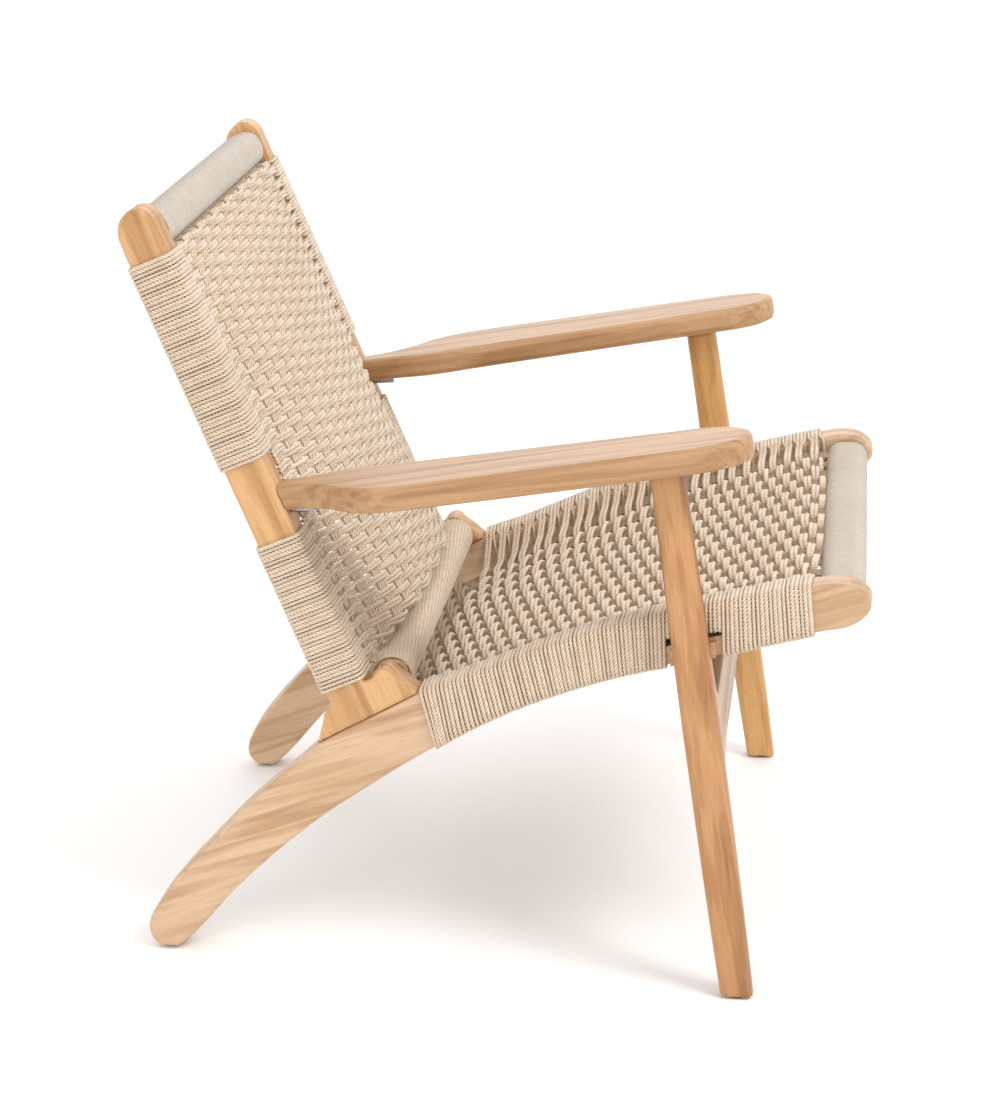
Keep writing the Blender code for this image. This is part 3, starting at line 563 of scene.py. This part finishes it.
    def short_weft(self, number):
        """A cord beyond the last full one, its ends tucked in beside the outermost warps."""
        along = self.last + (number + 0.5) * REAR_PITCH
        outer = self.warp_x(WARPS - 1, along)
        step = 2 * outer / (WARPS - 1)
        x = np.linspace(-outer - 0.010, outer + 0.010, 240)
        sign = 1 if (self.cords + number) // 2 % 2 == 0 else -1
        wave = sign * weave_shape(math.pi * (x + outer) / step)
        height = wave * np.where(wave > 0, self.over, self.under)
        points = self.sheet.points(x, np.full_like(x, along), height)
        # painted shade: these cords are darkened as lying deep under the back
        return points, np.array([0.0, 0.0, 1.0]), WEFT_WIDTH, REAR_PAINTED_LIGHTNESS

    def fillers(self, side):
        """Spare turns between the wefts; inside the frame they hide behind the wefts."""
        made = []
        for number, aside in self.aside[side].items():
            kind, points, angles, inward, up, run = self.rings[side][number]
            if kind == "bare":
                continue
            closed = np.vstack([points, points[:1]])
            facing = np.append(angles, 360.0)
            inside = np.where(facing < 180, 1 - smooth_step((facing - INNER_END[0]) / INNER_END[1]),
                              smooth_step((facing - INNER_START[0]) / INNER_START[1]))
            closed = closed + np.outer(inside * aside * self.spacing(side), run)
            closed = closed - np.outer(inside * SPARE_SINK * (aside != 0), inward)
            faces = closed - points.mean(axis=0)
            faces /= np.linalg.norm(faces, axis=1)[:, None]
            cut = int(np.argmin(abs(facing - TURN_JOIN)))
            line = np.vstack([closed[cut:-1], closed[:cut + 1]])
            ups = np.vstack([faces[cut:-1], faces[:cut + 1]])
            made.append((line, ups, 1.0, 1.0))
        return made

    def spacing(self, side):
        board = self.sides[side]
        return (board.end - board.start) / self.turns

    def warps(self, head, tail):
        """Lengthwise cords; head and tail give the way over the cross rails at x."""
        made = []
        for number in range(WARPS):
            for cord in range(WARP_CORDS):
                offset = (cord - (WARP_CORDS - 1) / 2) * 2 * CORD_R * WARP_WIDTH
                along = np.linspace(self.first - 0.002, self.warp_end, 120)
                x = self.warp_x(number, along) + offset + rng.normal(0, UNEVEN)
                points = self.sheet.points(x, along, 0.0)
                points = np.vstack([head(x[0]), points, tail(x[-1])])
                # painted shade: the warps are darkened all along, as lying deep in the weave
                made.append((points, np.array([1.0, 0.0, 0.0]), WARP_WIDTH, self.shadow))
        return made


def rolled_rail(rail, half, pitch, flat):
    """A helix of cord round a cross rail, from side frame to side frame."""
    solid = mesh_of(rail)
    origin = middle(rail)
    origin[0] = 0.0003
    rearward, upward = np.array([0.0, 1.0, 0.0]), np.array([0.0, 0.0, 1.0])
    points, angles = ring(solid, origin, rearward, upward, 0, reach=0.05)
    faces = np.stack([np.zeros(len(angles)), np.cos(np.radians(angles)), np.sin(np.radians(angles))], 1)
    closed = np.vstack([points, points[:1]])
    length = np.concatenate([[0], np.cumsum(np.linalg.norm(np.diff(closed, axis=0), axis=1))])
    turns = int(2 * half / pitch)
    pitch = 2 * half / turns
    lines = []
    for first in range(0, turns, ROLL_TURNS):
        count = min(ROLL_TURNS, turns - first)
        line = []
        for number in range(count):
            x = -half + pitch * (first + number) + pitch * length[:-1] / length[-1] + pitch / 2
            turn = points.copy()
            turn[:, 0] = x + rng.normal(0, 0.00006)
            line.append(turn)
        lines.append((np.vstack(line), np.tile(faces, (count, 1)), flat * pitch / (2 * CORD_R), 1.0))
    return lines


# ---- materials ---------------------------------------------------------------------
class Graph:
    """A small helper for shader nodes."""

    def __init__(self, name):
        self.material = bpy.data.materials.new(name)
        self.material.use_nodes = True
        self.tree = self.material.node_tree
        self.shader = self.tree.nodes["Principled BSDF"]

    def node(self, kind, inputs=None, **settings):
        made = self.tree.nodes.new(kind)
        for key, value in settings.items():
            setattr(made, key, value)
        for key, value in (inputs or {}).items():
            if isinstance(value, bpy.types.NodeSocket):
                self.tree.links.new(value, made.inputs[key])
            else:
                made.inputs[key].default_value = value
        return made

    def link(self, output, socket):
        self.tree.links.new(output, self.shader.inputs[socket])

    def ramp(self, factor, stops):
        made = self.node("ShaderNodeValToRGB", {"Fac": factor})
        elements = made.color_ramp.elements
        while len(elements) < len(stops):
            elements.new(0.5)
        for element, (place, colour) in zip(elements, stops):
            element.position = place
            element.color = (*colour, 1.0)
        return made.outputs["Color"]

    def mixed(self, factor, first, second, blend="MIX"):
        made = self.node("ShaderNodeMix", data_type="RGBA", blend_type=blend)
        for number, value in ((0, factor), (6, first), (7, second)):
            socket = made.inputs[number]
            if isinstance(value, bpy.types.NodeSocket):
                self.tree.links.new(value, socket)
            else:
                socket.default_value = value
        return made.outputs[2]

    def noise(self, place, stretch, scale, detail, roughness=0.5, distortion=0.0):
        """Noise along the grain: stretch is how fine it is along each axis."""
        mapped = self.node("ShaderNodeMapping", {"Vector": place, "Scale": stretch})
        return self.node("ShaderNodeTexNoise", {"Vector": mapped.outputs["Vector"], "Scale": scale,
                                                "Detail": detail, "Roughness": roughness,
                                                "Distortion": distortion}).outputs["Fac"]

    def bump(self, height, strength, distance, below=None):
        inputs = {"Height": height, "Strength": strength, "Distance": distance}
        if below is not None:
            inputs["Normal"] = below
        return self.node("ShaderNodeBump", inputs).outputs["Normal"]


def linear(red, green, blue):
    """A screen colour, 0 to 255, as linear light."""
    made = []
    for value in (red, green, blue):
        share = value / 255
        made.append(share / 12.92 if share < 0.04045 else ((share + 0.055) / 1.055) ** 2.4)
    return tuple(made)


def wood(name, grain, light, dark, seed):
    """Clear-oiled hardwood, its grain along the direction given."""
    graph = Graph(name)
    turn = Vector(grain).to_track_quat("X", "Z").inverted().to_euler()
    place = graph.node("ShaderNodeTexCoord").outputs["Object"]
    turned = graph.node("ShaderNodeMapping", {"Vector": place, "Rotation": turn,
                                              "Location": (seed * 0.37, seed * 0.11, seed * 0.23)})
    spot = turned.outputs["Vector"]
    drift = graph.noise(spot, (1.1, 9.0, 9.0), 1.0, 2.0, 0.45)
    bands = graph.noise(spot, (2.0, 46.0, 30.0), 1.6, 3.0, 0.55, 0.6)
    fibre = graph.noise(spot, (14.0, 520.0, 520.0), 1.0, 4.0, 0.6)
    pore = graph.noise(spot, (70.0, 900.0, 900.0), 1.0, 1.0)
    line = graph.noise(spot, (3.0, 120.0, 95.0), 1.0, 2.0, 0.5, 0.4)
    middle_tone = tuple((a + b) / 2 for a, b in zip(light, dark))
    colour = graph.ramp(bands, [(0.33, dark), (0.45, middle_tone), (0.56, light)])
    layers = ((0.85, line, (0.36, (0.80, 0.73, 0.65)), (0.47, (1.0, 1.0, 1.0))),
              (1.0, drift, (0.35, (0.93, 0.90, 0.86)), (0.65, (1.05, 1.05, 1.05))),
              (0.8, fibre, (0.34, (0.90, 0.87, 0.83)), (0.60, (1.03, 1.03, 1.03))),
              (0.55, pore, (0.24, (0.72, 0.60, 0.50)), (0.34, (1.0, 1.0, 1.0))))
    for share, pattern, deep, clear in layers:
        colour = graph.mixed(share, colour, graph.ramp(pattern, [deep, clear]), "MULTIPLY")
    graph.link(colour, "Base Color")
    rough = graph.node("ShaderNodeMapRange", {"Value": fibre, "To Min": 0.36, "To Max": 0.52})
    graph.link(rough.outputs["Result"], "Roughness")
    graph.link(graph.bump(pore, 0.12, 0.0002, graph.bump(fibre, 0.16, 0.0003)), "Normal")
    graph.shader.inputs["Specular IOR Level"].default_value = 0.42
    graph.shader.inputs["Coat Weight"].default_value = 0.06
    graph.shader.inputs["Coat Roughness"].default_value = 0.32
    return graph.material


def cord_look(name, light, dark, contrast=1.0):
    """Twisted paper cord: matt, with slightly darker and lighter lengths, a papery fibre, and painted
    shade in the grooves and where it lies deep.
    """
    graph = Graph(name)
    place = graph.node("ShaderNodeTexCoord").outputs["Object"]
    tone = graph.node("ShaderNodeTexNoise", {"Vector": place, "Scale": 95.0, "Detail": 3.0,
                                             "Roughness": 0.6}).outputs["Fac"]
    broad = graph.node("ShaderNodeTexNoise", {"Vector": place, "Scale": 9.0,
                                              "Detail": 2.0}).outputs["Fac"]
    fibre = graph.node("ShaderNodeTexNoise", {"Vector": place, "Scale": 1500.0, "Detail": 3.0,
                                              "Roughness": 0.7}).outputs["Fac"]
    colour = graph.ramp(tone, [(0.32, dark), (0.62, light)])
    wash = graph.ramp(broad, [(0.35, (0.97, 0.955, 0.93)), (0.65, (1.02, 1.02, 1.02))])
    colour = graph.mixed(1.0, colour, wash, "MULTIPLY")
    speck = graph.ramp(fibre, [(0.35, (0.90, 0.88, 0.85)), (0.62, (1.04, 1.04, 1.04))])
    colour = graph.mixed(0.6 * contrast, colour, speck, "MULTIPLY")
    # painted shade: the painted_shade attribute darkens grooves and deep cords towards brown
    painted_shade = graph.node("ShaderNodeAttribute", attribute_name="painted_shade").outputs["Fac"]
    deep = graph.ramp(painted_shade, [(0.0, (0.32, 0.22, 0.13)), (0.5, (0.82, 0.73, 0.62)),
                              (1.0, (1.0, 1.0, 1.0))])
    colour = graph.mixed(contrast, colour, deep, "MULTIPLY")
    graph.link(colour, "Base Color")
    graph.shader.inputs["Roughness"].default_value = 0.74
    graph.shader.inputs["Specular IOR Level"].default_value = 0.28
    graph.shader.inputs["Sheen Weight"].default_value = 0.10
    graph.shader.inputs["Sheen Roughness"].default_value = 0.5
    graph.link(graph.bump(fibre, 0.25, 0.0002), "Normal")
    return graph.material


def plain_look(name, colour, roughness, metallic, grain):
    """Steel or nylon with a fine machined or moulded surface."""
    graph = Graph(name)
    place = graph.node("ShaderNodeTexCoord").outputs["Object"]
    speck = graph.node("ShaderNodeTexNoise", {"Vector": place, "Scale": grain,
                                              "Detail": 3.0}).outputs["Fac"]
    dark = tuple(value * 0.85 for value in colour)
    graph.link(graph.ramp(speck, [(0.35, dark), (0.65, colour)]), "Base Color")
    rough = graph.node("ShaderNodeMapRange", {"Value": speck, "To Min": roughness - 0.06,
                                              "To Max": roughness + 0.08})
    graph.link(rough.outputs["Result"], "Roughness")
    graph.shader.inputs["Metallic"].default_value = metallic
    graph.link(graph.bump(speck, 0.08, 0.0002), "Normal")
    return graph.material


# light and dark tone of the wood of each board
GOLD = (linear(184, 137, 91), linear(152, 104, 62))
FAR_LEG_PAINTED_LIGHT = (linear(208, 162, 103), linear(182, 132, 78))
# the front legs' wood painted lighter and yellower for the far leg, as painted light
HONEY = (linear(200, 158, 110), linear(172, 127, 79))
ARM = (linear(180, 142, 102), linear(154, 115, 74))
PALE = (linear(202, 171, 140), linear(180, 147, 111))
STILE_UP = (0.0, 0.395, 0.919)


def seat_crown(x, along):
    """How far the woven seat lies above its CAD panel, following the curve of the side boards."""
    return SEAT_CROWN * np.clip(np.sin(math.pi * (along + 0.302) / 0.43), 0, 1)


def dress_frame():
    """Give every CAD node that stays visible its material."""
    across, leg_up = (1.0, 0.0, 0.0), (0.0, 0.145, 1.0)
    woods = (("side_rail", (0.0, 1.0, -0.35), PALE), ("back_stile", STILE_UP, HONEY),
             ("front_leg_left", leg_up, FAR_LEG_PAINTED_LIGHT), ("front_leg_right", leg_up, GOLD),
             ("armrest", (0.0, 1.0, -0.156), ARM), ("front_stretcher", across, PALE),
             ("crest_rail", across, PALE), ("back_bottom_rail", across, PALE),
             ("seat_front_rail", across, PALE), ("seat_rear_rail", across, PALE),
             ("leg_spacer", (0.0, 1.0, 0.0), HONEY), ("stile_dowel", (0.0, 0.6, 0.8), PALE),
             ("leg_dowel", leg_up, PALE), ("stretcher_dowel", across, PALE))
    steel = plain_look("steel_screw", linear(176, 176, 178), 0.32, 1.0, 900.0)
    nylon = plain_look("nylon_glide", linear(52, 46, 42), 0.5, 0.0, 700.0)
    for seed, (name, made) in enumerate(sorted(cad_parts.items())):
        look = None
        if "screw" in name:
            look = steel
        elif "glide" in name:
            look = nylon
        else:
            for start, grain, tones in woods:
                if name.startswith(start):
                    look = wood("wood_" + name, grain, *tones, seed)
        if look is None:
            continue
        for slot in made.material_slots:
            slot.material = look


# ---- the woven parts ---------------------------------------------------------------
def lay_cords():
    """Replace the plain CAD wraps and panels with the cord itself."""
    paper = cord_look("paper_cord", linear(254, 244, 232), linear(247, 233, 216))
    cream = cord_look("cream_cord", linear(221, 214, 205), linear(214, 206, 195), 0.45)
    labels = {-1: "right", 1: "left"}
    sides = {side: SideBoard(side, label) for side, label in labels.items()}
    seat_sheet = Sheet("woven_seat", 2, 1, seat_crown)
    seat = Weave(seat_sheet, sides, SEAT_CORDS, SEAT_TURNS, seat_sheet.low[1] - 0.0080,
                 seat_sheet.high[1] - 0.041, margin=0.0225, spare=0, slit=0.50, hang=False,
                 shadow=0.20, relief=1.0)
    stiles = {side: BackStile(side, label) for side, label in labels.items()}
    back_sheet = Sheet("woven_back", 1, 2)
    back = Weave(back_sheet, stiles, BACK_CORDS, BACK_TURNS, back_sheet.low[2] - 0.001,
                 back_sheet.high[2] + 0.001, margin=0.0135, spare=3, slit=0.30, hang=True,
                 shadow=0.9, relief=0.8)
    side_nodes = []
    stile_nodes = []
    for label in labels.values():
        side_nodes += ["side_wrap_%s_%s" % (part, label) for part in ("front", "leg", "rear")]
        stile_nodes += ["stile_wrap_%s_%s" % (part, label) for part in ("lower", "upper")]
    rear = [seat.short_weft(number) for number in range(SEAT_REAR_CORDS)]
    cord_pieces("seat_weft", [seat.weft(k) for k in range(seat.cords)] + rear, paper,
                ["woven_seat"])
    cord_pieces("back_weft", [back.weft(k) for k in range(back.cords)], paper,
                ["woven_back"])
    for side, label in labels.items():
        cord_pieces("side_turns_" + label, seat.fillers(side), paper,
                    [node for node in side_nodes if node.endswith(label)])
        cord_pieces("stile_turns_" + label, back.fillers(side), paper,
                    [node for node in stile_nodes if node.endswith(label)])

    def way(rail, degrees):
        """Where a warp ends on a rail, at these degrees from the rear towards the top."""
        low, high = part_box(rail)
        centre_y, centre_z = (low[1] + high[1]) / 2, (low[2] + high[2]) / 2
        reach = (high[2] - low[2]) / 2 + CORD_R
        spots = [(centre_y + reach * math.cos(math.radians(degree)),
                  centre_z + reach * math.sin(math.radians(degree))) for degree in degrees]
        return lambda x: np.array([(x, y, z) for y, z in spots])

    seat_head = way("seat_front_rail", (50, 35))
    seat_tail = way("seat_rear_rail", (110, 90))
    back_head = way("back_bottom_rail", (120, 145))
    back_tail = way("crest_rail", (235, 215))
    cord_pieces("seat_warp", seat.warps(seat_head, seat_tail), paper, ["woven_seat"])
    cord_pieces("back_warp", back.warps(back_head, back_tail), paper, ["woven_back"])
    looks = {"paper_cord": paper, "cream_cord": cream}
    for rail, wrap, slot, pitch, flat in ROLLS:
        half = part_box(wrap)[1][0] - CORD_R
        cord_pieces(wrap + "_cord", rolled_rail(rail, half, pitch, flat), looks[slot], [wrap])


# ---- the studio --------------------------------------------------------------------
def plain_surface(name, colour, roughness):
    graph = Graph(name)
    graph.shader.inputs["Base Color"].default_value = (*colour, 1.0)
    graph.shader.inputs["Roughness"].default_value = roughness
    return graph.material


def add_light(name, place, target, size, power, colour):
    data = bpy.data.lights.new(name, "AREA")
    data.shape = "DISK"
    data.size = size
    data.energy = power
    data.color = colour
    made = bpy.data.objects.new(name, data)
    made.location = place
    made.rotation_euler = (Vector(target) - Vector(place)).to_track_quat("-Z", "Y").to_euler()
    bpy.context.scene.collection.objects.link(made)


def studio():
    """A pale floor, an even white surround and three soft lights."""
    floor_mesh = bpy.data.meshes.new("floor")
    half = 12.0
    corners = [(-half, -half, 0), (half, -half, 0), (half, half, 0), (-half, half, 0)]
    floor_mesh.from_pydata(corners, [], [(0, 1, 2, 3)])
    floor_mesh.materials.append(plain_surface("studio_floor", (0.97, 0.97, 0.97), 0.9))
    floor = bpy.data.objects.new("floor", floor_mesh)
    bpy.context.scene.collection.objects.link(floor)
    world = bpy.data.worlds.new("studio")
    world.use_nodes = True
    light = world.node_tree.nodes["Background"].inputs
    light["Color"].default_value = (1.0, 1.0, 1.0, 1.0)
    light["Strength"].default_value = 1.04
    bpy.context.scene.world = world
    add_light("key", (-1.6, -2.2, 3.2), (0.0, 0.0, 0.35), 1.3, 60.0, (1.0, 0.985, 0.975))
    add_light("sheen", (3.2, 0.3, 2.1), (0.0, 0.0, 0.45), 2.6, 22.0, (1.0, 0.975, 1.0))
    add_light("fill", (-3.4, 0.9, 1.5), (0.0, 0.1, 0.4), 1.8, 22.0, (1.0, 0.99, 0.985))
    view = bpy.context.scene.view_settings
    view.view_transform = "Standard"
    view.look = "None"
    view.exposure = 0.0


def camera():
    data = bpy.data.cameras.new("camera")
    data.lens = CAMERA_LENS
    data.sensor_width = 36.0
    data.dof.use_dof = False
    made = bpy.data.objects.new("camera", data)
    cos_pitch = math.cos(CAMERA_PITCH)
    forward = Vector((math.cos(CAMERA_YAW) * cos_pitch, math.sin(CAMERA_YAW) * cos_pitch,
                      -math.sin(CAMERA_PITCH)))
    right = Vector((math.sin(CAMERA_YAW), -math.cos(CAMERA_YAW), 0.0))
    up = right.cross(forward)
    rolled_right = math.cos(CAMERA_ROLL) * right + math.sin(CAMERA_ROLL) * up
    rolled_up = math.cos(CAMERA_ROLL) * up - math.sin(CAMERA_ROLL) * right
    axes = Matrix((rolled_right, rolled_up, -forward)).transposed().to_4x4()
    axes.translation = CAMERA_AT
    made.matrix_world = axes
    bpy.context.scene.collection.objects.link(made)
    bpy.context.scene.camera = made


camera()
studio()
dress_frame()
lay_cords()
